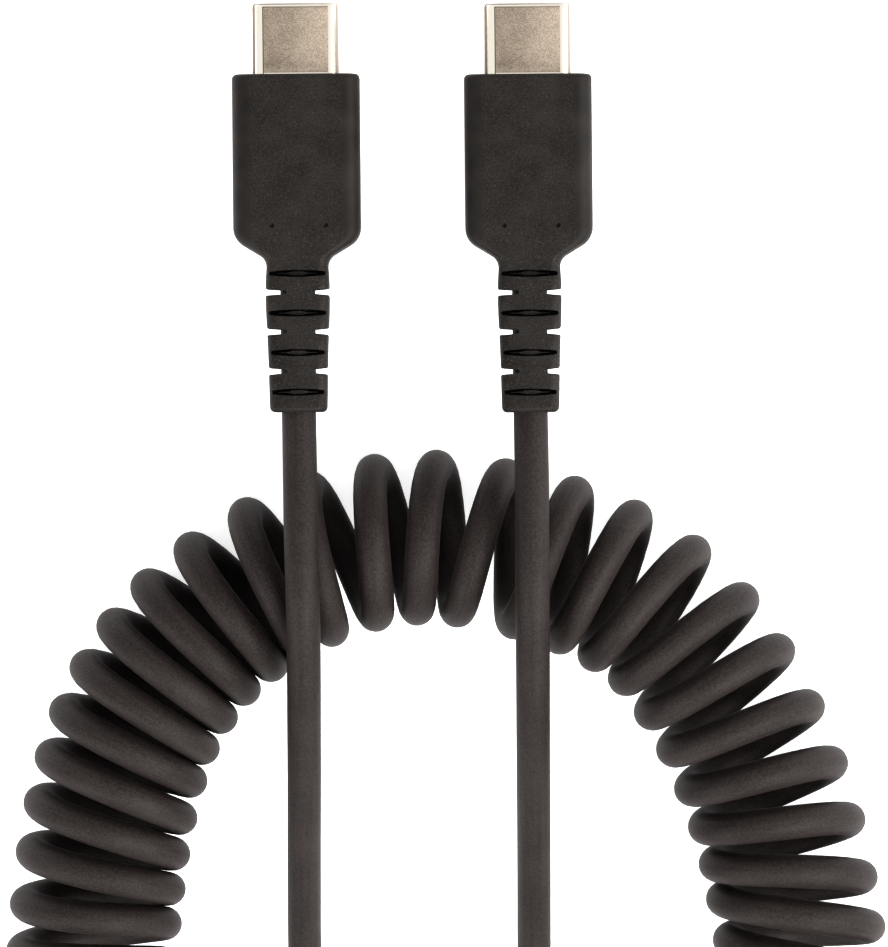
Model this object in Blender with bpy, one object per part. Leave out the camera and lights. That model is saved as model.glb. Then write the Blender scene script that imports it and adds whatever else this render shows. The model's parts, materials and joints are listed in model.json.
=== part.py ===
# A curly charging cable with a USB-C plug at each end, lying on a floor.
# Metres, +Z up. The origin is on the floor, midway between the two plugs.
# Each plug rests on the tip of its metal shell and rises to the back, because its cord climbs
# over the coil. The coil lies in an arch, and both cords come down inside it.

import math

import bmesh
import bpy
from mathutils import Vector

# Metal shell of a plug
SHELL_WIDTH = 0.00825
SHELL_THICKNESS = 0.0024
SHELL_WALL = 0.00025
SHELL_SIDE_RADIUS = 0.0011
SHELL_LIP_ROUND = 0.00012
SHELL_EXPOSED = 0.0068
SHELL_SEATED = 0.0020

# Black insulator inside the shell, with the slot that takes the tongue of a socket
INSULATOR_RECESS = 0.0002
SLOT_WIDTH = 0.0068
SLOT_HEIGHT = 0.0009
SLOT_DEPTH = 0.0056

# Moulded housing: grip, shoulder and strain relief in one piece
GRIP_WIDTH = 0.01225
GRIP_THICKNESS = 0.0060
GRIP_LENGTH = 0.01448
GRIP_CORNER_RADIUS = 0.0016
GRIP_FRONT_ROUND = 0.00045
SHOULDER_OUTER_RADIUS = 0.0020
SHOULDER_INNER_RADIUS = 0.0016
SHOULDER_ANGLE = math.radians(56)
RELIEF_LENGTH = 0.0138
RELIEF_WIDTH_FRONT = 0.0060
RELIEF_WIDTH_BACK = 0.0054
RELIEF_THICKNESS_FRONT = 0.0056
RELIEF_THICKNESS_BACK = 0.0052
RELIEF_CORNER_RADIUS = 0.0010
RELIEF_END_ROUND = 0.0003

# Slots of the strain relief: grooves in its top and underside, notches through its two sides
GROOVE_COUNT = 4
GROOVE_PITCH = 0.00379
GROOVE_FIRST = 0.00059
GROOVE_HEIGHT = 0.00062
GROOVE_SIDE_WALL = 0.00025
NOTCH_HEIGHT = 0.00060
WEB_THICKNESS = 0.0022
CORE_RADIUS = 0.0017

# Cord and coil
CORD_DIAMETER = 0.0033
COIL_MEAN_RADIUS = 0.0069

# Clearances
SHELL_CLEARANCE = 0.0001
INSULATOR_CLEARANCE = 0.0001
CORD_CLEARANCE = 0.0003

# How the plugs lie
PLUG_SPACING = 0.02224
PLUG_TILT = math.radians(19.4)
PLUG_TURN = math.radians(0.55)
PLUG_MIDDLE = (-0.000135, 0.01866)

# Fineness
CORNER_STEPS = 5
ARC_STEPS = 5
CORE_SIDES = 20
CORD_SIDES_SETTING = 2
COIL_SIDES_SETTING = 4
CORD_POINT_EVERY = 0.0066
COIL_POINT_EVERY = 0.0075
CURVE_STEPS = 24

# Route of each cord behind its strain relief: over the coil, down to the floor, round to the coil's end
LEAD_A_ROUTE = [
    (-0.01079, -0.0250, 0.01650),
    (-0.01070, -0.0300, 0.01815),
    (-0.01054, -0.0363, 0.01920),
    (-0.01050, -0.0430, 0.01800),
    (-0.01055, -0.0500, 0.01520),
    (-0.01061, -0.0570, 0.01170),
    (-0.01068, -0.0640, 0.00810),
    (-0.01072, -0.0710, 0.00490),
    (-0.01066, -0.0780, 0.00270),
    (-0.01035, -0.0850, 0.00180),
    (-0.00975, -0.0910, 0.00168),
    (-0.00935, -0.0965, 0.00168),
    (-0.01088, -0.1024, 0.00168),
    (-0.01520, -0.1067, 0.00168),
    (-0.02110, -0.1083, 0.00168),
    (-0.02700, -0.1067, 0.00168),
    (-0.03132, -0.1024, 0.00168),
    (-0.03285, -0.0965, 0.00168),
    (-0.03235, -0.0920, 0.00168),
    (-0.03180, -0.0888, 0.00168),
]
LEAD_B_ROUTE = [
    (0.01146, -0.0250, 0.01650),
    (0.01148, -0.0300, 0.01815),
    (0.01153, -0.0363, 0.01920),
    (0.01160, -0.0430, 0.01800),
    (0.01167, -0.0500, 0.01520),
    (0.01173, -0.0570, 0.01170),
    (0.01180, -0.0640, 0.00810),
    (0.01186, -0.0710, 0.00490),
    (0.01191, -0.0780, 0.00270),
    (0.01200, -0.0850, 0.00180),
    (0.01235, -0.0920, 0.00168),
    (0.01410, -0.0986, 0.00168),
    (0.01890, -0.1033, 0.00168),
    (0.02545, -0.1051, 0.00168),
    (0.03200, -0.1033, 0.00168),
    (0.03680, -0.0986, 0.00168),
    (0.03855, -0.0925, 0.00168),
    (0.03860, -0.0888, 0.00168),
]

# Middle line of the coil as it lies, from its left end over the arch to its right end
COIL_ROUTE = [
    (-0.0318, -0.0885),
    (-0.0318, -0.0800),
    (-0.0312, -0.0720),
    (-0.0296, -0.0612),
    (-0.0265, -0.0514),
    (-0.0215, -0.0439),
    (-0.0145, -0.0381),
    (-0.0063, -0.0343),
    (0.0016, -0.0331),
    (0.0096, -0.0343),
    (0.0175, -0.0370),
    (0.0242, -0.0413),
    (0.0296, -0.0484),
    (0.0334, -0.0562),
    (0.0361, -0.0645),
    (0.0376, -0.0720),
    (0.0386, -0.0800),
    (0.0386, -0.0885),
]


def clear_scene():
    for found in list(bpy.data.objects):
        bpy.data.objects.remove(found, do_unlink=True)


def finish_of(name, colour, roughness, metallic):
    """A Principled material of one colour."""
    made = bpy.data.materials.new(name)
    made.use_nodes = True
    shader = made.node_tree.nodes["Principled BSDF"]
    shader.inputs["Base Color"].default_value = (*colour, 1)
    shader.inputs["Roughness"].default_value = roughness
    shader.inputs["Metallic"].default_value = metallic
    return made


def rounded_section(width, thickness, radius):
    """Points (x, z) round a rectangle with round corners, anticlockwise from its right side."""
    radius = min(radius, width / 2, thickness / 2)
    across = width / 2 - radius
    up = thickness / 2 - radius
    points = []
    for quarter, (side, level) in enumerate([(1, 1), (-1, 1), (-1, -1), (1, -1)]):
        for step in range(CORNER_STEPS + 1):
            angle = math.pi / 2 * (quarter + step / CORNER_STEPS)
            points.append((side * across + radius * math.cos(angle), level * up + radius * math.sin(angle)))
    return points


def loft(name, sections):
    """A closed mesh through sections, each a pair of its distance behind the tip and its points."""
    made = bmesh.new()
    rings = [[made.verts.new((x, -behind, z)) for x, z in points] for behind, points in sections]
    for ring, following in zip(rings, rings[1:]):
        for i, corner in enumerate(ring):
            after = (i + 1) % len(ring)
            made.faces.new((corner, ring[after], following[after], following[i]))
    made.faces.new(rings[0])
    made.faces.new(rings[-1])
    bmesh.ops.recalc_face_normals(made, faces=made.faces)
    return object_of(name, made)


def object_of(name, built):
    mesh = bpy.data.meshes.new(name)
    built.to_mesh(mesh)
    built.free()
    made = bpy.data.objects.new(name, mesh)
    bpy.context.scene.collection.objects.link(made)
    return made


def boxes(name, corners):
    """One mesh of separate boxes, each given by its lowest and highest corner."""
    made = bmesh.new()
    for low, high in corners:
        low, high = Vector(low), Vector(high)
        box = bmesh.ops.create_cube(made, size=1)["verts"]
        bmesh.ops.scale(made, vec=high - low, verts=box)
        bmesh.ops.translate(made, vec=(low + high) / 2, verts=box)
    return object_of(name, made)


def join_or_cut(target, other, operation):
    """A Boolean on the target, with the other shape kept out of the render."""
    modifier = target.modifiers.new(other.name, "BOOLEAN")
    modifier.operation = operation
    modifier.object = other
    modifier.solver = "EXACT"
    other.hide_render = True
    other.display_type = "WIRE"


def shade(target, finish):
    target.data.materials.append(finish)
    target.data.shade_smooth()
    target.data.set_sharp_from_angle(angle=math.radians(35))


def shell_end():
    return SHELL_EXPOSED + SHELL_SEATED


def shell_of(plug):
    """The metal shell: an open tube with a rounded front lip."""
    inset = SHELL_LIP_ROUND
    outer = loft(
        plug + "_shell",
        [
            (0, rounded_section(SHELL_WIDTH - 2 * inset, SHELL_THICKNESS - 2 * inset, SHELL_SIDE_RADIUS - inset)),
            (inset, rounded_section(SHELL_WIDTH, SHELL_THICKNESS, SHELL_SIDE_RADIUS)),
            (shell_end(), rounded_section(SHELL_WIDTH, SHELL_THICKNESS, SHELL_SIDE_RADIUS)),
        ],
    )
    inside = rounded_section(
        SHELL_WIDTH - 2 * SHELL_WALL, SHELL_THICKNESS - 2 * SHELL_WALL, SHELL_SIDE_RADIUS - SHELL_WALL
    )
    bore = loft(plug + "_shell_bore", [(-SHELL_WALL, inside), (shell_end() + SHELL_WALL, inside)])
    join_or_cut(outer, bore, "DIFFERENCE")
    return outer, [bore]


def insulator_of(plug):
    """The insulator: it fills the shell behind its slot."""
    margin = 2 * (SHELL_WALL + INSULATOR_CLEARANCE)
    section = rounded_section(
        SHELL_WIDTH - margin, SHELL_THICKNESS - margin, SHELL_SIDE_RADIUS - margin / 2
    )
    body = loft(plug + "_insulator", [(INSULATOR_RECESS, section), (shell_end() - INSULATOR_CLEARANCE, section)])
    slot = boxes(
        plug + "_slot",
        [((-SLOT_WIDTH / 2, -SLOT_DEPTH, -SLOT_HEIGHT / 2), (SLOT_WIDTH / 2, SLOT_DEPTH, SLOT_HEIGHT / 2))],
    )
    join_or_cut(body, slot, "DIFFERENCE")
    return body, [slot]


def shoulder_outline():
    """Pairs of distance behind the grip and half width, down the shoulder."""
    turn = 1 - math.cos(SHOULDER_ANGLE)
    drop = (GRIP_WIDTH - RELIEF_WIDTH_FRONT) / 2
    straight = (drop - (SHOULDER_OUTER_RADIUS + SHOULDER_INNER_RADIUS) * turn) / math.sin(SHOULDER_ANGLE)
    points = []
    for step in range(ARC_STEPS + 1):
        angle = SHOULDER_ANGLE * step / ARC_STEPS
        points.append(
            (SHOULDER_OUTER_RADIUS * math.sin(angle), GRIP_WIDTH / 2 - SHOULDER_OUTER_RADIUS * (1 - math.cos(angle)))
        )
    foot = (
        (SHOULDER_OUTER_RADIUS + SHOULDER_INNER_RADIUS) * math.sin(SHOULDER_ANGLE)
        + straight * math.cos(SHOULDER_ANGLE)
    )
    for step in range(ARC_STEPS, -1, -1):
        angle = SHOULDER_ANGLE * step / ARC_STEPS
        points.append(
            (
                foot - SHOULDER_INNER_RADIUS * math.sin(angle),
                RELIEF_WIDTH_FRONT / 2 + SHOULDER_INNER_RADIUS * (1 - math.cos(angle)),
            )
        )
    return points


def relief_start():
    return SHELL_EXPOSED + GRIP_LENGTH + shoulder_outline()[-1][0]


def relief_end():
    return relief_start() + RELIEF_LENGTH


def between(first, last, share):
    return first + (last - first) * share


def relief_width(behind):
    return between(RELIEF_WIDTH_FRONT, RELIEF_WIDTH_BACK, (behind - relief_start()) / RELIEF_LENGTH)


def rounded_end(behind, width, thickness, radius, edge, outwards):
    """Sections that round an end over: outwards is 1 where the loft starts and -1 where it ends."""
    found = []
    for step in range(ARC_STEPS - 1):
        angle = math.pi / 2 * step / (ARC_STEPS - 1)
        inset = 2 * edge * (1 - math.sin(angle))
        found.append(
            (
                behind + outwards * edge * (1 - math.cos(angle)),
                rounded_section(width - inset, thickness - inset, radius - inset / 2),
            )
        )
    return found[::outwards]


def housing_of(plug):
    """The moulded housing, with the pocket for the shell and the slots of its strain relief."""
    sections = rounded_end(
        SHELL_EXPOSED, GRIP_WIDTH, GRIP_THICKNESS, GRIP_CORNER_RADIUS, GRIP_FRONT_ROUND, 1
    )
    sections.append(
        (SHELL_EXPOSED + GRIP_FRONT_ROUND, rounded_section(GRIP_WIDTH, GRIP_THICKNESS, GRIP_CORNER_RADIUS))
    )
    grip_end = SHELL_EXPOSED + GRIP_LENGTH
    outline = shoulder_outline()
    for behind, half_width in outline:
        share = behind / outline[-1][0]
        sections.append(
            (
                grip_end + behind,
                rounded_section(
                    2 * half_width,
                    between(GRIP_THICKNESS, RELIEF_THICKNESS_FRONT, share),
                    between(GRIP_CORNER_RADIUS, RELIEF_CORNER_RADIUS, share),
                ),
            )
        )
    back = (RELIEF_WIDTH_BACK, RELIEF_THICKNESS_BACK, RELIEF_CORNER_RADIUS)
    sections.append((relief_end() - RELIEF_END_ROUND, rounded_section(*back)))
    sections += rounded_end(relief_end(), *back, RELIEF_END_ROUND, -1)
    body = loft(plug + "_housing", sections)

    pocket_section = rounded_section(
        SHELL_WIDTH + 2 * SHELL_CLEARANCE, SHELL_THICKNESS + 2 * SHELL_CLEARANCE, SHELL_SIDE_RADIUS + SHELL_CLEARANCE
    )
    pocket = loft(plug + "_pocket", [(0, pocket_section), (shell_end() + SHELL_CLEARANCE, pocket_section)])
    grooves, notches = [], []
    for number in range(GROOVE_COUNT):
        middle = relief_start() + GROOVE_FIRST + number * GROOVE_PITCH
        across = relief_width(middle) / 2 - GROOVE_SIDE_WALL
        front, back_edge = -middle + GROOVE_HEIGHT / 2, -middle - GROOVE_HEIGHT / 2
        web, out = WEB_THICKNESS / 2, GRIP_THICKNESS
        grooves.append(((-across, back_edge, web), (across, front, out)))
        grooves.append(((-across, back_edge, -out), (across, front, -web)))
    for number in range(GROOVE_COUNT - 1):
        middle = relief_start() + GROOVE_FIRST + number * GROOVE_PITCH + GROOVE_PITCH / 2
        front, back_edge = -middle + NOTCH_HEIGHT / 2, -middle - NOTCH_HEIGHT / 2
        web, out, up = WEB_THICKNESS / 2, GRIP_WIDTH, GRIP_THICKNESS
        notches.append(((web, back_edge, -up), (out, front, up)))
        notches.append(((-out, back_edge, -up), (-web, front, up)))
    groove_cutter = boxes(plug + "_grooves", grooves)
    notch_cutter = boxes(plug + "_notches", notches)
    core = core_of(plug, grip_end, relief_end() - RELIEF_END_ROUND)
    join_or_cut(body, pocket, "DIFFERENCE")
    join_or_cut(body, groove_cutter, "DIFFERENCE")
    join_or_cut(body, notch_cutter, "DIFFERENCE")
    join_or_cut(body, core, "UNION")
    return body, [pocket, groove_cutter, notch_cutter, core]


def core_of(plug, start, end):
    """The round middle of the strain relief, which shows inside its slots."""
    circle = [
        (CORE_RADIUS * math.cos(2 * math.pi * i / CORE_SIDES), CORE_RADIUS * math.sin(2 * math.pi * i / CORE_SIDES))
        for i in range(CORE_SIDES)
    ]
    return loft(plug + "_core", [(start, circle), (end, circle)])


def plug_place(side):
    """Where the middle of a plug's tip is: the lower edge of its shell touches the floor."""
    height = SHELL_THICKNESS / 2 * math.cos(PLUG_TILT)
    return Vector((PLUG_MIDDLE[0] + side * PLUG_SPACING / 2, PLUG_MIDDLE[1], height))


def plug_back():
    """The direction from a plug's tip to its strain relief."""
    level = math.cos(PLUG_TILT)
    return Vector((math.sin(PLUG_TURN) * level, -math.cos(PLUG_TURN) * level, math.sin(PLUG_TILT)))


def plug(name, side, finishes):
    holder = bpy.data.objects.new(name + "_place", None)
    bpy.context.scene.collection.objects.link(holder)
    holder.location = plug_place(side)
    holder.rotation_euler = (-PLUG_TILT, 0, PLUG_TURN)
    for make, finish in ((shell_of, "nickel"), (insulator_of, "insulator"), (housing_of, "housing")):
        piece, helpers = make(name)
        shade(piece, finishes[finish])
        for made in [piece, *helpers]:
            made.parent = holder


def smooth_curve(points):
    """Many points on a smooth curve through the given ones (centripetal Catmull-Rom)."""
    route = [Vector(point) for point in points]
    route = [2 * route[0] - route[1], *route, 2 * route[-1] - route[-2]]
    found = []
    for a, b, c, d in zip(route, route[1:], route[2:], route[3:]):
        times = [0.0]
        for start, end in ((a, b), (b, c), (c, d)):
            times.append(times[-1] + math.sqrt((end - start).length))
        for step in range(CURVE_STEPS):
            now = between(times[1], times[2], step / CURVE_STEPS)

            def blend(start, end, first, last):
                return start.lerp(end, (now - times[first]) / (times[last] - times[first]))

            ab, bc, cd = blend(a, b, 0, 1), blend(b, c, 1, 2), blend(c, d, 2, 3)
            found.append(blend(blend(ab, bc, 0, 2), blend(bc, cd, 1, 3), 1, 2))
    found.append(route[-2])
    return found


def spaced(points, every):
    """Points evenly spaced along a curve, about the given distance apart."""
    lengths = [0.0]
    for start, end in zip(points, points[1:]):
        lengths.append(lengths[-1] + (end - start).length)
    count = max(2, round(lengths[-1] / every))
    found, at = [], 0
    for number in range(count + 1):
        wanted = lengths[-1] * number / count
        while at < len(points) - 2 and lengths[at + 1] < wanted:
            at += 1
        share = (wanted - lengths[at]) / (lengths[at + 1] - lengths[at])
        found.append(points[at].lerp(points[at + 1], share))
    return found


def tube(name, points, radius, sides_setting, finish):
    """A round tube with flat ends along straight steps between the points."""
    data = bpy.data.curves.new(name, "CURVE")
    data.dimensions = "3D"
    data.twist_mode = "Z_UP"
    data.bevel_depth = radius
    data.bevel_resolution = sides_setting
    data.use_fill_caps = True
    spline = data.splines.new("POLY")
    spline.points.add(len(points) - 1)
    for place, point in zip(spline.points, points):
        place.co = (*point, 1)
    data.materials.append(finish)
    made = bpy.data.objects.new(name, data)
    bpy.context.scene.collection.objects.link(made)


def lead(name, side, route, finish):
    """One straight cord, from behind its strain relief to just before the coil's end."""
    start = plug_place(side) + plug_back() * (relief_end() + CORD_CLEARANCE)
    points = spaced(smooth_curve([start, *route]), CORD_POINT_EVERY)
    tube(name, points, CORD_DIAMETER / 2, CORD_SIDES_SETTING, finish)


def coil(finish):
    """The coiled cord, as one fat tube of the coil's outer diameter that lies on the floor."""
    radius = COIL_MEAN_RADIUS + CORD_DIAMETER / 2
    points = spaced(smooth_curve([(x, y, radius) for x, y in COIL_ROUTE]), COIL_POINT_EVERY)
    tube("coil", points, radius, COIL_SIDES_SETTING, finish)


clear_scene()
finishes = {
    "nickel": finish_of("nickel", (0.50, 0.41, 0.33), 0.35, 1.0),
    "insulator": finish_of("insulator", (0.010, 0.010, 0.011), 0.4, 0.0),
    "housing": finish_of("housing", (0.034, 0.030, 0.026), 0.6, 0.0),
    "jacket": finish_of("jacket", (0.050, 0.041, 0.038), 0.55, 0.0),
}
plug("plug_a", -1, finishes)
plug("plug_b", 1, finishes)
coil(finishes["jacket"])
lead("lead_a", -1, LEAD_A_ROUTE, finishes["jacket"])
lead("lead_b", 1, LEAD_B_ROUTE, finishes["jacket"])
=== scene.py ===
# A curly cable with two plugs on a pale floor: the finish of each piece, the camera and the light
import json
import math

import bmesh
import bpy
from mathutils import Matrix, Vector


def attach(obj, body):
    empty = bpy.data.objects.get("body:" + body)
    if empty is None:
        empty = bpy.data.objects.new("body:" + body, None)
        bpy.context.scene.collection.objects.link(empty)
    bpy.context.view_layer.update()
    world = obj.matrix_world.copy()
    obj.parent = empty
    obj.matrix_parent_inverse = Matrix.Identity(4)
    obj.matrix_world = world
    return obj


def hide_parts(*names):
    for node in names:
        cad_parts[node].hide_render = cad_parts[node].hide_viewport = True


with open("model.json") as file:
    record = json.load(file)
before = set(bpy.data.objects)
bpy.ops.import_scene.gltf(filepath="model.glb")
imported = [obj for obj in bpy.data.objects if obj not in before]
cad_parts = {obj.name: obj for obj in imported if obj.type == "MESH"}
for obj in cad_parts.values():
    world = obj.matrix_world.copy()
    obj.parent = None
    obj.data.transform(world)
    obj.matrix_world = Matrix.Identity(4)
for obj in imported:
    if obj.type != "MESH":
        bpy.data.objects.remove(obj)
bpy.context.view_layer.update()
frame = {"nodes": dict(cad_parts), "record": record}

mm = 0.001
sharpAngle = 35   # degrees between two faces, from which the edge between them is a sharp one
plugNames = ("plug_a", "plug_b")
print("frame loaded:", len(frame["nodes"]), "solids")


# How the plugs lie: their mounts in the record say where each front face is and which way it looks
mounts = {mount["name"]: mount for mount in frame["record"]["mounts"]}
faceAxis = Vector(mounts["plug_a_face"]["axis"]).normalized()
plugTilt = math.asin(-faceAxis.z)
plugTurn = math.atan2(-faceAxis.x, faceAxis.y)
plugRotation = Matrix.Rotation(plugTurn, 4, "Z") @ Matrix.Rotation(-plugTilt, 4, "X")

# Directions of the picture: up, and out to the camera, which looks square onto the plugs
pictureUp = Vector((0, math.cos(plugTilt), -math.sin(plugTilt)))
pictureOut = Vector((0, math.sin(plugTilt), math.cos(plugTilt)))

# Sizes of a plug, measured from the tip of its shell
plug = {
    "exposedShell": 6.8 * mm,
    "faceMark": 2.0 * mm,        # a mount's point is so far above the shell's middle
    "reliefStart": 25.28 * mm,
    "reliefEnd": 39.2 * mm,
}

view = {
    "middle": (3.02 * mm, -27.85 * mm),   # what the picture's centre shows, across and up
    "plugHeight": 7.3 * mm,               # how far out the plugs' own plane is
    "distance": 0.9,                      # from that plane
    "pixelsPerMm": 10.42,                 # in that plane
    "pictureHeight": 947,
    "sensor": 36.0,
}


def makeCamera():
    data = bpy.data.cameras.new("camera")
    data.sensor_width = view["sensor"]
    focalPixels = view["pixelsPerMm"] * view["distance"] / mm
    data.lens = focalPixels * view["sensor"] / view["pictureHeight"]
    made = bpy.data.objects.new("camera", data)
    bpy.context.scene.collection.objects.link(made)
    across, up = view["middle"]
    far = view["plugHeight"] + view["distance"]
    made.location = Vector((across, 0, 0)) + up * pictureUp + far * pictureOut
    made.rotation_euler = (-plugTilt, 0, 0)
    bpy.context.scene.camera = made


makeCamera()
print("camera made")


# A socket in a material's maths: an expression on it adds the Math nodes
class Wire:
    def __init__(self, finish, socket):
        self.finish = finish
        self.socket = socket

    def maths(self, operation, first, second=0.0):
        return self.finish.add("Math", {"operation": operation}, {0: first, 1: second})

    def __add__(self, other):
        return self.maths("ADD", self, other)

    def __sub__(self, other):
        return self.maths("SUBTRACT", self, other)

    def __rsub__(self, other):
        return self.maths("SUBTRACT", other, self)

    def __mul__(self, other):
        return self.maths("MULTIPLY", self, other)

    def __abs__(self):
        return self.maths("ABSOLUTE", self)

    __radd__ = __add__
    __rmul__ = __mul__


# A material. What is the same all over it is set on its shader when it is made
class Finish:
    def __init__(self, name, **fixed):
        self.material = bpy.data.materials.new(name)
        self.material.use_nodes = True
        self.tree = self.material.node_tree
        self.shader = self.tree.nodes["Principled BSDF"]
        for socket, value in fixed.items():
            self.shader.inputs[socket.replace("_", " ")].default_value = value

    # Any node: its settings first, then the values or wires of its sockets
    def add(self, kind, settings, sockets, output=0):
        node = self.tree.nodes.new("ShaderNode" + kind)
        for setting, value in settings.items():
            setattr(node, setting, value)
        for socket, value in sockets.items():
            if isinstance(value, Wire):
                self.tree.links.new(value.socket, node.inputs[socket])
            else:
                node.inputs[socket].default_value = value
        return Wire(self, node.outputs[output])

    def feed(self, name, wire):
        self.tree.links.new(wire.socket, self.shader.inputs[name])

    # Where a point is, in the piece's own frame
    def place(self):
        return self.add("TexCoord", {}, {}, "Object")

    def parts(self, vector):
        return [self.add("SeparateXYZ", {}, {0: vector}, part) for part in "XYZ"]

    def stretched(self, vector, scale):
        return self.add("VectorMath", {"operation": "MULTIPLY"}, {0: vector, 1: scale})

    # Noise whose grains have a size in metres
    def noise(self, vector, grain, detail=2.0, roughness=0.5):
        sockets = {"Vector": vector, "Scale": 1 / grain, "Detail": detail, "Roughness": roughness}
        return self.add("TexNoise", {}, sockets, "Fac")

    # 0 below the first value and 1 above the second, smooth between them
    def rise(self, value, low, high):
        sockets = {"Value": value, "From Min": low, "From Max": high}
        return self.add("MapRange", {"interpolation_type": "SMOOTHSTEP"}, sockets)

    def blend(self, share, first, second):
        colours = [c if isinstance(c, Wire) else (*c, 1.0) for c in (first, second)]
        return self.add("Mix", {"data_type": "RGBA"}, {0: share, 6: colours[0], 7: colours[1]}, 2)

    def relief(self, height, depth):
        self.feed("Normal", self.add("Bump", {}, {"Height": height, "Distance": depth}, "Normal"))


def between(first, last, share):
    return first + (last - first) * share


def finishMesh(name, built, sharpFrom=sharpAngle):
    bmesh.ops.recalc_face_normals(built, faces=built.faces)
    mesh = bpy.data.meshes.new(name)
    built.to_mesh(mesh)
    built.free()
    mesh.shade_smooth()
    mesh.set_sharp_from_angle(angle=math.radians(sharpFrom))
    made = bpy.data.objects.new(name, mesh)
    bpy.context.scene.collection.objects.link(made)
    return made


# A closed skin through rings of as many points each: with flat ends, or joined round like a tyre
def skin(built, rings, joinedRound=False):
    corners = [[built.verts.new(point) for point in ring] for ring in rings]
    if joinedRound:
        corners.append(corners[0])
    else:
        built.faces.new(corners[0][::-1])
        built.faces.new(corners[-1])
    for ring, following in zip(corners, corners[1:]):
        for i in range(len(ring)):
            after = (i + 1) % len(ring)
            built.faces.new((ring[i], ring[after], following[after], following[i]))


# A ring of a plug, so far behind its tip: a rectangle with round corners
def plugRing(behind, width, thickness, radius, steps=9):
    across, up = width / 2 - radius, thickness / 2 - radius
    points = []
    for quarter, (side, level) in enumerate([(1, 1), (-1, 1), (-1, -1), (1, -1)]):
        for step in range(steps + 1):
            angle = math.pi / 2 * (quarter + step / steps)
            x = side * across + radius * math.cos(angle)
            points.append((x, -behind, level * up + radius * math.sin(angle)))
    return points


# Where a plug stands: its own frame has the tip of the shell at the origin and the cord along -Y
def plugPlace(name):
    onFace = Vector((0, -plug["exposedShell"], plug["faceMark"]))
    tip = Vector(mounts[name + "_face"]["pos_m"]) - plugRotation @ onFace
    return Matrix.Translation(tip) @ plugRotation


# Puts a piece that was made in a plug's own frame where that plug is
def seat(made, name, finish, node=None):
    made.matrix_world = plugPlace(name)
    made.data.materials.append(finish)
    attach(made, "root")
    if node:
        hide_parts(name + node)


# A smooth curve through points. It doesn't overshoot where they lie close together
def smoothCurve(points, steps):
    route = [Vector(point) for point in points]
    route = [2 * route[0] - route[1], *route, 2 * route[-1] - route[-2]]
    found = []
    for a, b, c, d in zip(route, route[1:], route[2:], route[3:]):
        times = [0.0]
        for start, end in ((a, b), (b, c), (c, d)):
            times.append(times[-1] + math.sqrt((end - start).length))
        for step in range(steps):
            now = between(times[1], times[2], step / steps)

            def blend(start, end, first, last):
                return start.lerp(end, (now - times[first]) / (times[last] - times[first]))

            ab, bc, cd = blend(a, b, 0, 1), blend(b, c, 1, 2), blend(c, d, 2, 3)
            found.append(blend(blend(ab, bc, 0, 2), blend(bc, cd, 1, 3), 1, 2))
    found.append(route[-2])
    return found


def lengthsAlong(points):
    found = [0.0]
    for start, end in zip(points, points[1:]):
        found.append(found[-1] + (end - start).length)
    return found


# The value at a place on a list of marks, each a place and its value, smooth between them
def readMarks(marks, place):
    at = 0
    while at < len(marks) - 2 and marks[at + 1][0] < place:
        at += 1

    def slope(i):
        low, high = max(i - 1, 0), min(i + 1, len(marks) - 1)
        return (marks[high][1] - marks[low][1]) / (marks[high][0] - marks[low][0])

    (x0, y0), (x1, y1) = marks[at], marks[at + 1]
    width = x1 - x0
    t = min(max((place - x0) / width, 0), 1)
    return (
        (2 * t**3 - 3 * t**2 + 1) * y0
        + (t**3 - 2 * t**2 + t) * width * slope(at)
        + (3 * t**2 - 2 * t**3) * y1
        + (t**3 - t**2) * width * slope(at + 1)
    )


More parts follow.
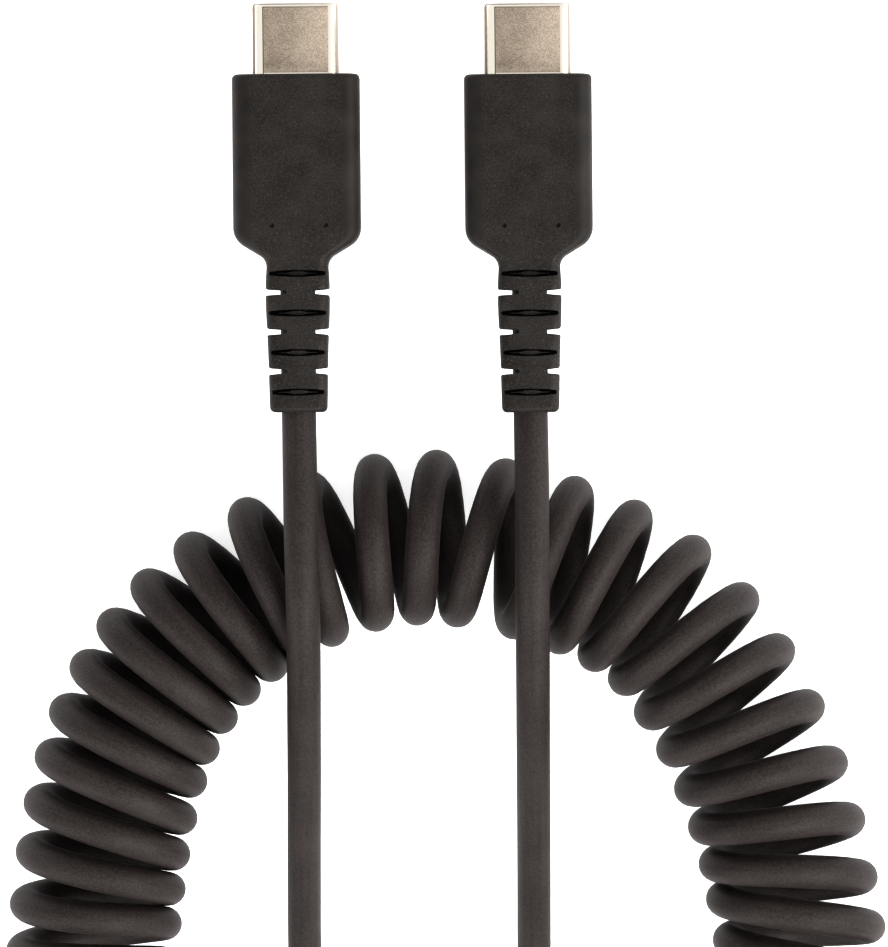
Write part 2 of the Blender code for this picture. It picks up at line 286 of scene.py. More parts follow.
cord = {
    "diameter": 3.3 * mm,
    "length": 1.40,
    "sides": 24,
    "curveSteps": 24,            # that each stretch between two points of a lead is worked out in
    "stepAlong": 1.2 * mm,       # between rings where it isn't coiled
    "insideRelief": 2.0 * mm,    # how far inside each strain relief its end is
    "darkColour": (0.018, 0.0142, 0.013),
    "lightColour": (0.039, 0.0308, 0.0283),
    "roughness": 0.6,
    "gloss": 0.25,
    "grainSize": 0.17 * mm,
    "streakSize": 0.35 * mm,     # across the cord
    "streakStretch": 0.03,       # how fast they change along it, as a share of that across it
    "cloudSize": 6 * mm,
    "noiseRange": (0.38, 0.62),  # its noise is dark below this range and light above it
    "grainDepth": 0.02 * mm,
    "mapStrips": 12,             # the texture map cuts it into strips side by side
    "mapMargin": 0.02,           # of a strip's width, on each side of it
    # From each strain relief over the coil, down to the floor and round to the coil's end
    "leadA": [
        (-0.01079, -0.0250, 0.01650),
        (-0.01070, -0.0300, 0.01815),
        (-0.01054, -0.0363, 0.01920),
        (-0.01050, -0.0430, 0.01800),
        (-0.01055, -0.0500, 0.01520),
        (-0.01061, -0.0570, 0.01170),
        (-0.01070, -0.0640, 0.00810),
        (-0.01077, -0.0710, 0.00490),
        (-0.01080, -0.0780, 0.00270),
        (-0.01060, -0.0850, 0.00180),
        (-0.00985, -0.0910, 0.00168),
        (-0.00935, -0.0965, 0.00168),
        (-0.01088, -0.1024, 0.00168),
        (-0.01520, -0.1067, 0.00168),
        (-0.02110, -0.1083, 0.00168),
        (-0.02700, -0.1067, 0.00168),
        (-0.03132, -0.1024, 0.00168),
        (-0.03285, -0.0965, 0.00168),
        (-0.03235, -0.0920, 0.00168),
        (-0.03180, -0.0888, 0.00168),
    ],
    "leadB": [
        (0.01146, -0.0250, 0.01650),
        (0.01148, -0.0300, 0.01815),
        (0.01153, -0.0363, 0.01920),
        (0.01160, -0.0430, 0.01800),
        (0.01167, -0.0500, 0.01520),
        (0.01175, -0.0570, 0.01170),
        (0.01184, -0.0640, 0.00810),
        (0.01191, -0.0710, 0.00490),
        (0.01197, -0.0780, 0.00270),
        (0.01205, -0.0850, 0.00180),
        (0.01235, -0.0920, 0.00168),
        (0.01410, -0.0986, 0.00168),
        (0.01890, -0.1033, 0.00168),
        (0.02545, -0.1051, 0.00168),
        (0.03200, -0.1033, 0.00168),
        (0.03680, -0.0986, 0.00168),
        (0.03855, -0.0925, 0.00168),
        (0.03860, -0.0888, 0.00168),
    ],
}

coil = {
    "radius": 6.9 * mm,          # from the coil's middle line to the middle of the cord
    "pointsPerTurn": 60,
    "turns": 26,                 # from end to end, each end at the coil's lowest side
    "endPitch": 4.55 * mm,       # from turn to turn at each end
    "tightestBend": 6.6 * mm,    # where the cord winds into the helix
    "hookStep": 0.25 * mm,       # between points there
    "lineSteps": 40,             # that each stretch between two points of the middle line has
    "lookAhead": 3,              # how many of them each way give the line's direction
    # Middle line on the floor, from the left end over the arch to the right end
    "route": [
        (-0.0318, -0.0885),
        (-0.0318, -0.0800),
        (-0.0312, -0.0720),
        (-0.0296, -0.0612),
        (-0.0265, -0.0514),
        (-0.0215, -0.0439),
        (-0.0145, -0.0381),
        (-0.0063, -0.0343),
        (0.0016, -0.0331),
        (0.0096, -0.0343),
        (0.0175, -0.0370),
        (0.0242, -0.0413),
        (0.0296, -0.0484),
        (0.0334, -0.0562),
        (0.0361, -0.0645),
        (0.0376, -0.0720),
        (0.0386, -0.0800),
        (0.0386, -0.0885),
    ],
    # How far along that line, in mm, some turns have come
    "turnMarks": [
        (1.5, 15.8), (4.5, 29.4), (7.5, 42.6), (9.5, 51.7), (11.5, 61.7), (12.5, 67.5), (13.5, 72.4),
        (14.5, 77.8), (15.5, 84.3), (17.5, 94.9), (19.5, 105.9), (21.5, 116.8), (23.5, 127.2), (24.5, 131.9),
    ],
    # How far some turns lean along the coil at their outer side, in degrees
    "leanMarks": [
        (0, -7), (1.5, -7), (2.5, -0.5), (3.5, 2), (5.5, 1.5), (7.5, -4), (8.5, -6.3), (9.5, -7),
        (11.5, 1.5), (12.5, -0.5), (14.5, -2.3), (16.5, -3.3), (17.5, -0.5), (18.5, -4.3), (20.5, -2.2),
        (21.5, 0.7), (22.5, 4), (23.5, 8), (24.5, 12), (26, 12),
    ],
}


# How the cord starts at a coil's end, as pairs of distance along the coil and turns made: it lies
# along the coil at first and winds into the helix, no tighter than the tightest bend
def endHook():
    steepest = math.atan2(2 * math.pi * coil["radius"], coil["endPitch"])
    step = coil["hookStep"]
    heading, along, turned = 0.0, 0.0, 0.0
    found = [(along, turned)]
    while heading < steepest:
        roundCoil = math.sin(heading) ** 2 / coil["radius"]
        heading += step * math.sqrt(max(coil["tightestBend"] ** -2 - roundCoil**2, 0))
        along += step * math.cos(heading)
        turned += step * math.sin(heading) / (2 * math.pi * coil["radius"])
        found.append((along, turned))
    return found


def coilPath():
    line = smoothCurve([(x, y, 0) for x, y in coil["route"]], coil["lineSteps"])
    lengths = lengthsAlong(line)
    whole = lengths[-1]
    radius, lift, look = coil["radius"], cord["diameter"] / 2, coil["lookAhead"]

    # A point of the cord, so many turns on and so far along the middle line. A turn is a circle that
    # faces along the line as the picture shows it, and the cord touches the floor at its lowest point
    def strand(along, turns):
        at = min(range(len(line) - 1), key=lambda i: abs(lengths[i] - along))
        ahead = line[min(at + look, len(line) - 1)] - line[max(at - look, 0)]
        middle = line[at] + ahead.normalized() * (along - lengths[at])
        slanted = Vector((ahead.x, ahead.y * math.cos(plugTilt))).normalized()
        forward = Vector((slanted.x, 0, 0)) + slanted.y * pictureUp
        outward = Vector((-slanted.y, 0, 0)) + slanted.x * pictureUp
        middle.z = lift + radius * math.hypot(pictureOut.z, outward.z)
        angle = -math.pi / 2 - 2 * math.pi * turns
        lean = math.tan(math.radians(readMarks(coil["leanMarks"], turns)))
        spoke = math.cos(angle) * (outward + lean * forward) + math.sin(angle) * pictureOut
        return middle + radius * spoke

    hook = endHook()
    hookLength, hookTurns = hook[-1]
    firstTurn, firstDistance = coil["turnMarks"][0]
    hookStart = firstDistance * mm - (firstTurn - hookTurns) * coil["endPitch"] - hookLength
    marks = [(hookTurns, hookStart + hookLength)]
    marks += [(turn, distance * mm) for turn, distance in coil["turnMarks"]]
    marks += [(coil["turns"] - hookTurns, whole - hookStart - hookLength)]
    start, end = marks[0][0], marks[-1][0]
    count = round((end - start) * coil["pointsPerTurn"])
    points = [strand(hookStart + along, turned) for along, turned in hook]
    for number in range(1, count):
        turns = between(start, end, number / count)
        points.append(strand(readMarks(marks, turns), turns))
    for along, turned in hook[::-1]:
        points.append(strand(whole - hookStart - along, coil["turns"] - turned))
    return points


# The route of one straight cord, out of its strain relief
def leadPath(name, route):
    place = plugPlace(name)
    start = place @ Vector((0, cord["insideRelief"] - plug["reliefEnd"], 0))
    end = place @ Vector((0, -plug["reliefEnd"], 0))
    points = smoothCurve([start, end, *route], cord["curveSteps"])

    # points at equal distances along that curve
    lengths = lengthsAlong(points)
    count = round(lengths[-1] / cord["stepAlong"])
    found, at = [], 0
    for number in range(count + 1):
        wanted = lengths[-1] * number / count
        while at < len(points) - 2 and lengths[at + 1] < wanted:
            at += 1
        share = (wanted - lengths[at]) / (lengths[at + 1] - lengths[at])
        found.append(points[at].lerp(points[at + 1], share))
    return found


# A tube along points. Its attribute cordPlace holds each point's place across the cord and along it
def tube(name, path, radius, sides):
    lengths = lengthsAlong(path)
    side = Vector((1, 0, 0))   # turned from ring to ring just as far as the path bends, with no twist
    rings, places = [], []
    for i, point in enumerate(path):
        ahead = (path[min(i + 1, len(path) - 1)] - path[max(i - 1, 0)]).normalized()
        side = (side - ahead * side.dot(ahead)).normalized()
        over = ahead.cross(side)
        ring = []
        for k in range(sides):
            angle = 2 * math.pi * k / sides
            x, y = radius * math.cos(angle), radius * math.sin(angle)
            ring.append(point + x * side + y * over)
            places += [x, y, lengths[i]]
        rings.append(ring)
    built = bmesh.new()
    skin(built, rings)
    made = finishMesh(name, built, sharpFrom=60)
    attribute = made.data.attributes.new("cordPlace", "FLOAT_VECTOR", "POINT")
    attribute.data.foreach_set("vector", places)
    mapTube(made.data, len(path), sides)
    return made


# A texture map for the tube: strips side by side, each with an equal share of the rings
def mapTube(mesh, ringCount, sides):
    strips, margin = cord["mapStrips"], cord["mapMargin"]
    perStrip = math.ceil((ringCount - 1) / strips)
    layer = mesh.uv_layers.new(name="OFBake")
    for face in mesh.polygons:
        corners = [mesh.loops[i].vertex_index for i in face.loop_indices]
        if len(corners) > 4:   # one of the tube's flat ends
            continue
        strip = min(corners) // sides // perStrip
        rounds = [corner % sides for corner in corners]
        if max(rounds) - min(rounds) > 1:   # the last face of its ring, back at the first point
            rounds = [turned or sides for turned in rounds]
        for loop, corner, turned in zip(face.loop_indices, corners, rounds):
            along = corner // sides - strip * perStrip
            across = between(margin, 1 - margin, turned / sides)
            layer.uv[loop].vector = ((strip + across) / strips, along / perStrip)


def cordFinish():
    rubber = Finish("cordRubber", Roughness=cord["roughness"], Specular_IOR_Level=cord["gloss"])
    place = rubber.add("Attribute", {"attribute_name": "cordPlace"}, {}, "Vector")
    streaks = rubber.noise(rubber.stretched(place, (1, 1, cord["streakStretch"])), cord["streakSize"], 3)
    clouds = rubber.noise(place, cord["cloudSize"])
    grain = rubber.noise(place, cord["grainSize"], 3, 0.7)
    share = rubber.rise(0.15 * streaks + 0.2 * clouds + 0.65 * grain, *cord["noiseRange"])
    rubber.feed("Base Color", rubber.blend(share, cord["darkColour"], cord["lightColour"]))
    rubber.relief(0.8 * grain + 0.2 * streaks, cord["grainDepth"])
    return rubber.material


def makeCord():
    leadA, leadB = leadPath("plug_a", cord["leadA"]), leadPath("plug_b", cord["leadB"])
    path = leadA[:-1] + coilPath() + leadB[-2::-1]
    made = tube("curly_cord", path, cord["diameter"] / 2, cord["sides"])
    made.data.materials.append(cordFinish())
    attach(made, "root")
    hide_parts("coil", "lead_a", "lead_b")
    print("cord made:", round(lengthsAlong(path)[-1], 3), "m,", len(path), "rings")


makeCord()


housing = {
    "gripWidth": 12.25 * mm,
    "gripThickness": 6.0 * mm,
    "gripLength": 14.7 * mm,
    "gripCorner": 1.6 * mm,
    "frontRound": 0.45 * mm,
    "shoulderOuter": 2.0 * mm,             # radius of the shoulder's bend beside the grip
    "shoulderInner": 1.3 * mm,             # radius of its bend beside the strain relief
    "shoulderAngle": 59,                   # slope of the stretch between them
    # Width and thickness of the strain relief at distances behind its start, all in mm
    "reliefWidth": [(0, 5.93), (1.9, 6.13), (5.0, 6.05), (7.5, 5.8), (13.9, 5.5)],
    "reliefThickness": [(0, 5.6), (13.9, 5.2)],
    "reliefRings": 9,
    "reliefCorner": 1.0 * mm,
    "endRound": 0.5 * mm,
    "pocket": (8.45 * mm, 2.6 * mm, 1.2 * mm),   # width, thickness and corner of the hole for the shell
    "pocketEnd": 8.9 * mm,
    "grooves": 4,
    "groovePitch": 3.79 * mm,
    "firstGroove": 0.64 * mm,              # behind the start of the strain relief
    "firstNotch": 2.42 * mm,
    "grooveHalf": (0.34 * mm, 0.20 * mm),  # half its height in the middle and at its ends
    "grooveMargin": 0.30 * mm,
    "notchHalf": (0.20 * mm, 0.30 * mm),   # half its height inside and at its mouth
    "mouthRound": 0.18 * mm,
    "cutPast": 2.0 * mm,                   # how far past the side a notch's cutter reaches
    "webs": (1.05 * mm, 1.5 * mm),         # how far from the middle the left and right notches start
    "grooveFloor": 1.3 * mm,               # half the thickness that is left between two grooves
    "core": 1.69 * mm,                     # radius of the middle, which shows in the slots
    "coreShift": 1.0 * mm,                 # it starts and ends so far before the strain relief does
    # Half the height of the ridge on a groove's floor at distances across, in mm
    "ridge": [(0, 0.2), (0.5, 0.18), (0.8, 0.1), (1.1, 0.05), (1.9, 0.03)],
    "ridgeTop": 2.4 * mm,                  # over the middle
    "edgeRound": 0.09 * mm,                # of each sharp edge
    "dimples": (-2.38 * mm, 2.78 * mm),    # how far across each dimple of the grip is
    "dimpleBehind": 21.3 * mm,
    "dimpleRadius": 0.27 * mm,
    "dimpleDepth": 0.24 * mm,
    "dimpleFloor": 0.4,                    # its radius at the bottom, as a share of that at the top
    "smoothBand": 4.5 * mm,                # the grain fades out this far across
    "smoothFade": 0.3 * mm,                # half the width of that fading
    "darkColour": (0.0113, 0.0094, 0.0082),
    "lightColour": (0.028, 0.0237, 0.0209),
    "speckColour": (0.085, 0.076, 0.068),
    "roughness": 0.55,
    "gloss": 0.25,
    "grainSize": 0.16 * mm,
    "speckSize": 0.13 * mm,
    "cloudSize": 3 * mm,
    "noiseRange": (0.38, 0.62),            # its noise is dark below this range and light above it
    "speckRange": (0.62, 0.74),            # the same for its specks
    "grainDepth": 0.03 * mm,
}


# Width and thickness of the strain relief, so far behind the tip
def reliefSize(behind):
    at = (behind - plug["reliefStart"]) / mm
    return [readMarks(housing[marks], at) * mm for marks in ("reliefWidth", "reliefThickness")]


# Pairs of distance behind the grip and half width, down the shoulder
def shoulderLine(steps=10):
    steepest = math.radians(housing["shoulderAngle"])
    outer, inner = housing["shoulderOuter"], housing["shoulderInner"]
    wide, narrow = housing["gripWidth"] / 2, reliefSize(plug["reliefStart"])[0] / 2
    length = plug["reliefStart"] - plug["exposedShell"] - housing["gripLength"]
    points = []
    for step in range(steps + 1):
        angle = steepest * step / steps
        points.append((outer * math.sin(angle), wide - outer * (1 - math.cos(angle))))
    for step in range(steps, -1, -1):
        angle = steepest * step / steps
        points.append((length - inner * math.sin(angle), narrow + inner * (1 - math.cos(angle))))
    return points


# Rings that round an edge over. The edge is at the distance given, and the body lies behind it,
# or in front of it where side is -1. The radius may be another along the plug: its reach
def roundedEdge(behind, width, thickness, corner, radius, side, reach=None, steps=6):
    rings = []
    for step in range(steps + 1):
        angle = math.pi / 2 * step / steps
        inset = radius * (1 - math.sin(angle))
        at = behind + side * (reach or radius) * (1 - math.cos(angle))
        rings.append(plugRing(at, width - 2 * inset, thickness - 2 * inset, corner - inset))
    return rings[::side]


def housingBody(name):
    wide, thick, corner = housing["gripWidth"], housing["gripThickness"], housing["gripCorner"]
    front = plug["exposedShell"]
    rings = [plugRing(housing["pocketEnd"], *housing["pocket"]), plugRing(front, *housing["pocket"])]
    rings += roundedEdge(front, wide, thick, corner, housing["frontRound"], 1)
    gripEnd = front + housing["gripLength"]
    line = shoulderLine()
    for behind, half in line:
        share = behind / line[-1][0]
        thickness = between(thick, reliefSize(plug["reliefStart"])[1], share)
        radius = between(corner, housing["reliefCorner"], share)
        rings.append(plugRing(gripEnd + behind, 2 * half, thickness, radius))
    end, relief = plug["reliefEnd"], housing["reliefCorner"]
    for number in range(1, housing["reliefRings"]):
        share = number / housing["reliefRings"]
        behind = between(plug["reliefStart"], end - housing["endRound"], share)
        rings.append(plugRing(behind, *reliefSize(behind), relief))
    rings += roundedEdge(end, *reliefSize(end), relief, housing["endRound"], -1)
    built = bmesh.new()
    skin(built, rings)
    return finishMesh(name, built)


# Adds a cutter: an outline of pairs, across and behind the tip, between two heights
def prism(built, outline, low, high):
    skin(built, [[(x, -behind, z) for x, behind in outline] for z in (low, high)])


def arc(x, y, radius, first, last, steps=6):
    angles = [math.radians(between(first, last, step / steps)) for step in range(steps + 1)]
    return [(x + radius * math.cos(angle), y + radius * math.sin(angle)) for angle in angles]


def circle(x, y, radius, points):
    return arc(x, y, radius, 0, 360, points)[:-1]


# Outline of a notch on the right side: round inside, wider at the mouth, with rounded lips
def notchOutline(middle, web):
    inner, mouth = housing["notchHalf"]
    lip, edge = housing["mouthRound"], reliefSize(middle)[0] / 2
    half = arc(web + inner, 0, inner, 180, 90)
    half += arc(edge - lip, mouth + lip, lip, -90, 0)
    half.append((edge + housing["cutPast"], mouth + lip))
    return [(x, middle + y) for x, y in half] + [(x, middle - y) for x, y in half[:0:-1]]


# Outline of a groove: a lens with round ends
def grooveOutline(middle):
    high, low = housing["grooveHalf"]
    reach = reliefSize(middle)[0] / 2 - housing["grooveMargin"] - low
    top = arc(reach, 0, low, 0, 90)
    top += [(reach * (1 - step / 4), between(high, low, (1 - step / 4) ** 2)) for step in range(1, 5)]
    half = top + [(-x, y) for x, y in top[-2::-1]]
    return [(x, middle + y) for x, y in half] + [(x, middle - y) for x, y in half[-2:0:-1]]


# How far behind the tip a groove or notch is
def slotMiddle(first, number):
    return plug["reliefStart"] + housing[first] + number * housing["groovePitch"]


def housingCutter(name):
    built = bmesh.new()
    floor, out = housing["grooveFloor"], housing["gripThickness"]
    leftWeb, rightWeb = housing["webs"]
    # grooves on the top and on the underside, with a notch on each side between two of them
    for number in range(housing["grooves"]):
        middle = slotMiddle("firstGroove", number)
        prism(built, grooveOutline(middle), floor, out)
        prism(built, grooveOutline(middle), -out, -floor)
    for number in range(housing["grooves"] - 1):
        middle = slotMiddle("firstNotch", number)
        prism(built, notchOutline(middle, rightWeb), -out, out)
        prism(built, [(-x, behind) for x, behind in notchOutline(middle, leftWeb)], -out, out)
    # dimples in the top
    behind, radius, depth = housing["dimpleBehind"], housing["dimpleRadius"], housing["dimpleDepth"]
    top, floorShare = housing["gripThickness"] / 2, housing["dimpleFloor"]
    for across in housing["dimples"]:
        small = circle(across, -behind, floorShare * radius, 12)
        wide = circle(across, -behind, (2 - floorShare) * radius, 12)
        skin(built, [[(x, y, top - depth) for x, y in small], [(x, y, top + depth) for x, y in wide]])
    return finishMesh(name, built)


# The cord's way through the strain relief
def housingCore(name):
    outline = circle(0, 0, housing["core"], 48)
    ends = [plug[end] - housing["coreShift"] for end in ("reliefStart", "reliefEnd")]
    built = bmesh.new()
    skin(built, [[(x, -behind, z) for x, z in outline] for behind in ends])
    return finishMesh(name, built)


# The ridge that stands in each groove
def housingRidges(name):
    built = bmesh.new()
    top = [(x * mm, y * mm) for x, y in housing["ridge"]]
    right = top + [(x, -y) for x, y in top[::-1]]
    whole = right + [(-x, -y) for x, y in right[1:-1]]
    for number in range(housing["grooves"]):
        middle = slotMiddle("firstGroove", number)
        prism(built, [(x, middle + y) for x, y in whole], -housing["ridgeTop"], housing["ridgeTop"])
    return finishMesh(name, built)


def combine(made, helper, operation):
    modifier = made.modifiers.new(helper.name, "BOOLEAN")
    modifier.object = helper
    modifier.operation = operation
    modifier.solver = "EXACT"


# Bakes an object's modifiers into its mesh and deletes the objects that they used
def applyModifiers(made, helpers):
    shape = made.evaluated_get(bpy.context.evaluated_depsgraph_get())
    mesh = bpy.data.meshes.new_from_object(shape)
    made.modifiers.clear()
    made.data = mesh
    for helper in helpers:
        bpy.data.objects.remove(helper, do_unlink=True)


def housingFinish():
    plastic = Finish("housingPlastic", Roughness=housing["roughness"], Specular_IOR_Level=housing["gloss"])
    place = plastic.place()
    across = abs(plastic.parts(place)[0])
    band, fade = housing["smoothBand"], housing["smoothFade"]
    flat = 1 - plastic.rise(across, band - fade, band + fade)
    grain = plastic.noise(place, housing["grainSize"], 3, 0.7)
    clouds = plastic.noise(place, housing["cloudSize"])
    specks = plastic.rise(plastic.noise(place, housing["speckSize"], 1), *housing["speckRange"]) * flat
    mottle = 0.7 * grain * flat + 0.35 * (1 - flat) + 0.3 * clouds
    share = plastic.rise(mottle, *housing["noiseRange"])
    ground = plastic.blend(share, housing["darkColour"], housing["lightColour"])
    plastic.feed("Base Color", plastic.blend(0.6 * specks, ground, housing["speckColour"]))
    plastic.relief(grain * (0.25 + 0.75 * flat), housing["grainDepth"])
    return plastic.material


def makeHousings():
    finish = housingFinish()
    for name in plugNames:
        made = housingBody(name + "_moulded_housing")
        cutter, core = housingCutter(name + "_cutter"), housingCore(name + "_core")
        ridges = housingRidges(name + "_ridges")
        combine(made, cutter, "DIFFERENCE")
        combine(made, core, "UNION")
        edges = made.modifiers.new("edges", "BEVEL")
        edges.width = housing["edgeRound"]
        edges.segments = 2
        edges.angle_limit = math.radians(sharpAngle)
        combine(made, ridges, "UNION")
        flats = made.modifiers.new("flats", "WEIGHTED_NORMAL")   # keeps its flat faces flat to the light
        flats.keep_sharp = True
        applyModifiers(made, [cutter, core, ridges])
        seat(made, name, finish, "_housing")


makeHousings()
print("housings made")


shell = {
    "size": (8.25 * mm, 2.4 * mm, 1.1 * mm),   # width, thickness and radius of its sides
    "wall": 0.25 * mm,
    "length": 8.8 * mm,
    "lipRound": 0.22 * mm,
    "lipReach": 0.42 * mm,
    "innerRound": 0.10 * mm,
    "innerStart": 0.02 * mm,     # how far behind the tip the inner round starts
    "faceHalf": 3.11 * mm,       # half the width of its satin face
    "faceFront": 0.335 * mm,     # how far behind the tip the face starts
    "faceBack": 6.62 * mm,
    "faceLevel": (1.0 * mm, 1.1 * mm),       # it fades in between these heights over the middle
    "faceBlur": (0.02 * mm, 0.03 * mm),      # half the blur of its sides, and the blur of its ends
    "edgeHalf": 3.86 * mm,       # where the painted dark reflection along the edge of its sides starts
    "edgeFront": 0.12 * mm,      # where the painted dark reflection along the edge of its lip ends
    "edgeBlur": (0.05 * mm, 0.03 * mm),      # before and past the place where the sides' edge starts
    "lipBlur": 0.02 * mm,
    "paintedLightAcross": (-2.0 * mm, 4.2 * mm),  # painted light: between these, the darker left colours of the face and the edges turn into the lighter right ones, as if lit from the right
    "paintedLightBack": (5.9 * mm, 0.8),          # painted light: where the face is painted lighter to the back, which hides the housing's dark reflection in it, and how much
    "faceColoursShadedToLit": ((0.264, 0.22, 0.178), (0.4, 0.335, 0.27)),   # painted shade and light: darker at its left, lighter at its right
    "faceSpecksShadedToLit": ((0.484, 0.416, 0.341), (0.69, 0.59, 0.486)),
    "sideColour": (0.92, 0.87, 0.77),
    # painted dark reflection of the edges, at the left and at the right
    "edgeShadeColours": ((0.2, 0.165, 0.14), (0.36, 0.31, 0.27)),
    # painted shade colour of the seams' steps
    "seamShadeColour": (0.09, 0.07, 0.055),
    "faceRoughness": 0.42,
    "sideRoughness": 0.16,
    "edgeRoughness": 0.5,
    "seamShade": (0.02 * mm, 0.06 * mm),          # half width of the painted shade lines at the seams beside the face, without and with blur
    "frontSeamShade": (0.05 * mm, 0.1 * mm),      # the same for the painted shade line at the seam in front of it
    "rightSeamLitFading": 0.75,          # of the right seam's painted shade, which is painted faint as if lit from the right
    "frontStrength": 0.5,        # of the front seam's painted shade
    "grainSize": 0.09 * mm,
    "cloudSize": 1.5 * mm,
    "noiseRange": (0.36, 0.64),  # its noise is dark below this range and light above it
    "grainDepth": 0.008 * mm,
}


def makeShell(name, finish):
    width, thickness, side = shell["size"]
    inner, wall, back = shell["innerRound"], shell["wall"], shell["length"]
    rings = [plugRing(back, width, thickness, side)]
    rings += roundedEdge(0, width, thickness, side, shell["lipRound"], 1, shell["lipReach"])[::-1]
    for step in range(5):
        angle = math.pi / 2 * step / 4
        inset = wall - inner * (1 - math.sin(angle))
        behind = inner * (1 - math.cos(angle)) + shell["innerStart"]
        rings.append(plugRing(behind, width - 2 * inset, thickness - 2 * inset, side - inset))
    rings.append(plugRing(back, width - 2 * wall, thickness - 2 * wall, side - wall))
    built = bmesh.new()
    skin(built, rings, joinedRound=True)
    made = finishMesh(name + "_nickel_shell", built)
    seat(made, name, finish, "_shell")


def shellFinish():
    nickel = Finish("shellNickel", Metallic=1.0)
    place = nickel.place()
    x, y, z = nickel.parts(place)
    behind = 0 - y

    # where the satin face is
    edge, front, back = shell["faceHalf"], shell["faceFront"], shell["faceBack"]
    sideBlur, endBlur = shell["faceBlur"]
    across = 1 - nickel.rise(abs(x), edge - sideBlur, edge + sideBlur)
    along = nickel.rise(behind, front, front + endBlur) * (1 - nickel.rise(behind, back, back + endBlur))
    face = across * along * nickel.rise(abs(z), *shell["faceLevel"])

    # painted shade of the steps at the seams in front of it and beside it, which start where the front one
    # is; the right one is painted fainter, as if lit from the right
    frontHalf, frontReach = shell["frontSeamShade"]
    frontSeamShade = (1 - nickel.rise(abs(behind - front), frontHalf, frontReach)) * across
    sideSeamShade = 1 - nickel.rise(abs(abs(x) - edge), *shell["seamShade"])
    sideSeamShade = sideSeamShade * (1 - shell["rightSeamLitFading"] * nickel.rise(x, 0, 0.1 * mm))
    sideSeamShade = sideSeamShade * nickel.rise(behind, front - frontHalf, front)
    seamShade = sideSeamShade + shell["frontStrength"] * frontSeamShade

    # the face's colours with painted light: lighter to the right, as if lit from the right, and lighter to
    # the back, which hides the housing's dark reflection
    grain = nickel.noise(place, shell["grainSize"], 2, 0.6)
    clouds = nickel.noise(place, shell["cloudSize"])
    shade = nickel.rise(0.85 * grain + 0.15 * clouds, *shell["noiseRange"])
    paintedLight = nickel.rise(x, *shell["paintedLightAcross"])
    backStart, backShare = shell["paintedLightBack"]
    paintedFaceLight = paintedLight + backShare * nickel.rise(behind, backStart, back)
    ground, speck = [nickel.blend(paintedFaceLight, *shell[pair]) for pair in ("faceColoursShadedToLit", "faceSpecksShadedToLit")]
    satin = nickel.blend(shade, ground, speck)

    # painted dark reflection along the edges of the sides and the lip, darker at the left as if lit from the
    # right
    rimSide, rimFront, lipBlur = shell["edgeHalf"], shell["edgeFront"], shell["lipBlur"]
    before, past = shell["edgeBlur"]
    shadedRim = nickel.rise(abs(x), rimSide - before, rimSide + past)
    shadedRim = shadedRim + (1 - nickel.rise(behind, rimFront - lipBlur, rimFront + lipBlur))
    side = nickel.blend(shadedRim, shell["sideColour"], nickel.blend(paintedLight, *shell["edgeShadeColours"]))

    plain = nickel.blend(face, side, satin)
    nickel.feed("Base Color", nickel.blend(seamShade, plain, shell["seamShadeColour"]))
    smooth = shell["sideRoughness"]
    faceRougher, edgeRougher = shell["faceRoughness"] - smooth, shell["edgeRoughness"] - smooth
    nickel.feed("Roughness", smooth + faceRougher * face + edgeRougher * shadedRim)
    nickel.relief(grain * face, shell["grainDepth"])
    return nickel.material


insulator = {
    "recess": 0.2 * mm,
    "gap": 0.1 * mm,             # between it and the shell
    "slot": (6.8 * mm, 0.9 * mm, 0.2 * mm),
    "slotDepth": 5.6 * mm,
    "chamfer": 0.12 * mm,
    "colour": (0.012, 0.012, 0.013),
    "darkShare": 0.7,            # of that colour, in its darkest grains
    "roughness": 0.4,
    "grainSize": 0.12 * mm,
    "grainDepth": 0.008 * mm,
}

contacts = {
    "pitch": 0.5 * mm,
    "perRow": 12,
    "width": 0.26 * mm,
    "thickness": 0.07 * mm,
    # pairs of distance behind the tip and height over the slot's middle, in mm, along one contact
    "line": [(5.55, 0.44), (3.2, 0.40), (1.75, 0.30), (1.35, 0.30), (1.0, 0.40), (0.9, 0.44)],
    "colour": (0.95, 0.66, 0.28),
    "wornShare": 0.8,            # of that colour, in its darkest marks
    "roughness": (0.2, 0.4),     # without and with a mark
    "markSize": 0.05 * mm,
    "markStretch": 0.1,          # how fast marks change along a contact, as a share of that across it
}


def makeInsulator(name, finish):
    width, thickness, side = shell["size"]
    inset = shell["wall"] + insulator["gap"]
    outer = (width - 2 * inset, thickness - 2 * inset, side - inset)
    slotWidth, slotHeight, slotCorner = insulator["slot"]
    chamfer, recess = insulator["chamfer"], insulator["recess"]
    rings = [plugRing(shell["length"] - insulator["gap"], *outer), plugRing(recess, *outer)]
    rings.append(plugRing(recess, slotWidth + 2 * chamfer, slotHeight + 2 * chamfer, slotCorner + chamfer))
    rings.append(plugRing(recess + chamfer, slotWidth, slotHeight, slotCorner))
    rings.append(plugRing(insulator["slotDepth"], slotWidth, slotHeight, slotCorner))
    built = bmesh.new()
    skin(built, rings)
    made = finishMesh(name + "_black_insulator", built)
    seat(made, name, finish, "_insulator")


def makeContacts(name, finish):
    built = bmesh.new()
    half, thick = contacts["width"] / 2, contacts["thickness"]
    for number in range(contacts["perRow"]):
        x = (number - (contacts["perRow"] - 1) / 2) * contacts["pitch"]
        for level in (1, -1):
            rings = []
            for behind, height in contacts["line"]:
                y, z = -behind * mm, height * mm
                corners = [(x - half, z), (x + half, z), (x + half, z + thick), (x - half, z + thick)]
                rings.append([(across, y, level * up) for across, up in corners])
            skin(built, rings)
    made = finishMesh(name + "_contacts", built)
    seat(made, name, finish)


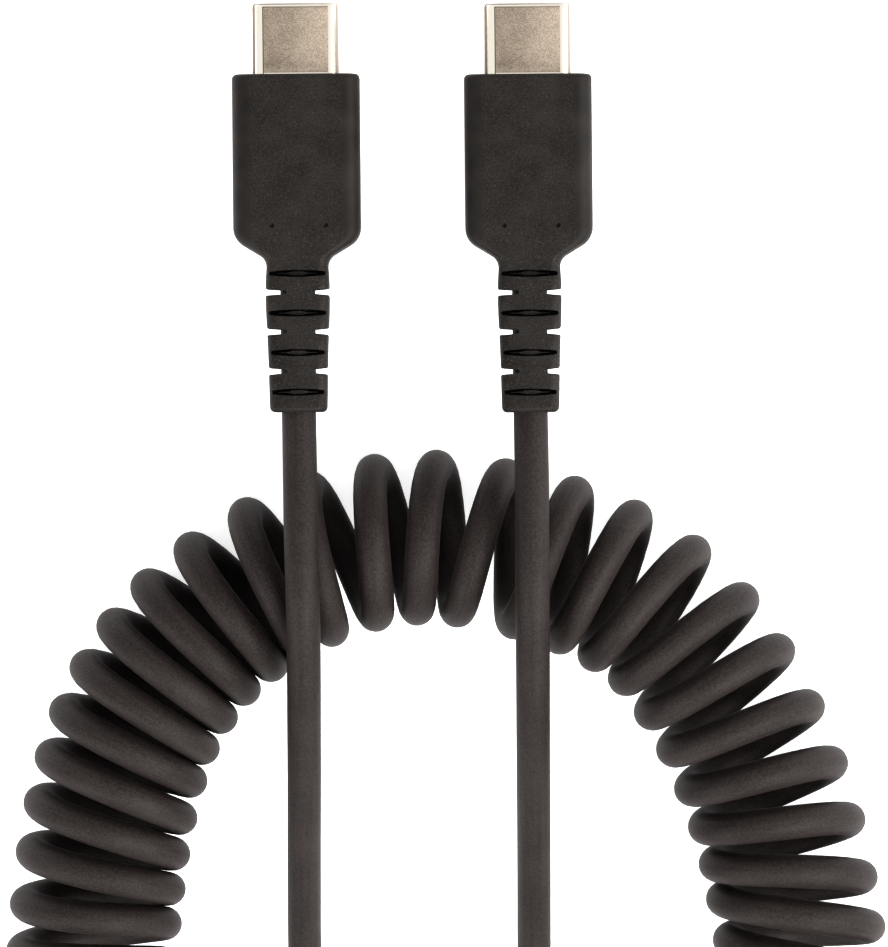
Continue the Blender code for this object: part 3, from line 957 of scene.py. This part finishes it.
def insulatorFinish():
    plastic = Finish("insulatorPlastic", Roughness=insulator["roughness"])
    grain = plastic.noise(plastic.place(), insulator["grainSize"])
    dark = tuple(insulator["darkShare"] * part for part in insulator["colour"])
    plastic.feed("Base Color", plastic.blend(grain, dark, insulator["colour"]))
    plastic.relief(grain, insulator["grainDepth"])
    return plastic.material


def contactFinish():
    gold = Finish("contactGold", Metallic=1.0)
    place = gold.place()
    marks = gold.noise(gold.stretched(place, (1, contacts["markStretch"], 1)), contacts["markSize"])
    worn = tuple(contacts["wornShare"] * part for part in contacts["colour"])
    gold.feed("Base Color", gold.blend(marks, worn, contacts["colour"]))
    gold.feed("Roughness", between(*contacts["roughness"], marks))
    return gold.material


def makeConnectors():
    nickel, black, gold = shellFinish(), insulatorFinish(), contactFinish()
    for name in plugNames:
        makeShell(name, nickel)
        makeInsulator(name, black)
        makeContacts(name, gold)


makeConnectors()
print("connectors made")


studio = {
    "floorSize": 3.0,
    "floorColour": (0.93, 0.93, 0.93),
    "floorRoughness": 0.9,
    "fibreSize": 1.5 * mm,
    "fibreShade": 0.985,         # of the floor's colour, in its darkest fibres
    "floorGlow": 0.44,           # the floor is lit from below too
    "sky": 0.7,
    # for each lamp, the direction from the object, and its distance, side and power
    "lamps": [
        ((0.45, -0.45, 1.0), 1.4, 0.55, 11.5),
        ((1.0, 0.05, 0.7), 1.2, 0.5, 7.5),
        ((-0.9, -0.6, 0.8), 1.2, 0.5, 5.5),
    ],
}


def makeStage():
    built = bmesh.new()
    bmesh.ops.create_grid(built, x_segments=1, y_segments=1, size=studio["floorSize"])
    floor = finishMesh("floor", built)
    glow = {"Emission_Color": (1, 1, 1, 1), "Emission_Strength": studio["floorGlow"]}
    paper = Finish("floorPaper", Roughness=studio["floorRoughness"], **glow)
    fibre = paper.noise(paper.place(), studio["fibreSize"], 3)
    shade = tuple(studio["fibreShade"] * part for part in studio["floorColour"])
    paper.feed("Base Color", paper.blend(fibre, shade, studio["floorColour"]))
    floor.data.materials.append(paper.material)


def makeLight():
    world = bpy.data.worlds.new("studio")
    world.use_nodes = True
    sky = world.node_tree.nodes["Background"]
    sky.inputs["Color"].default_value = (1, 1, 1, 1)
    sky.inputs["Strength"].default_value = studio["sky"]
    bpy.context.scene.world = world
    bpy.context.scene.view_settings.view_transform = "Standard"
    bpy.context.scene.view_settings.look = "High Contrast"
    middle = Vector((view["middle"][0], view["middle"][1], 0))
    for number, (direction, distance, side, power) in enumerate(studio["lamps"]):
        data = bpy.data.lights.new(f"lamp{number}", "AREA")
        data.size = side
        data.energy = power
        lamp = bpy.data.objects.new(f"lamp{number}", data)
        bpy.context.scene.collection.objects.link(lamp)
        towards = Vector(direction).normalized()
        lamp.location = middle + distance * towards
        lamp.rotation_euler = towards.to_track_quat("Z", "Y").to_euler()


makeStage()
makeLight()
print("stage and light made")
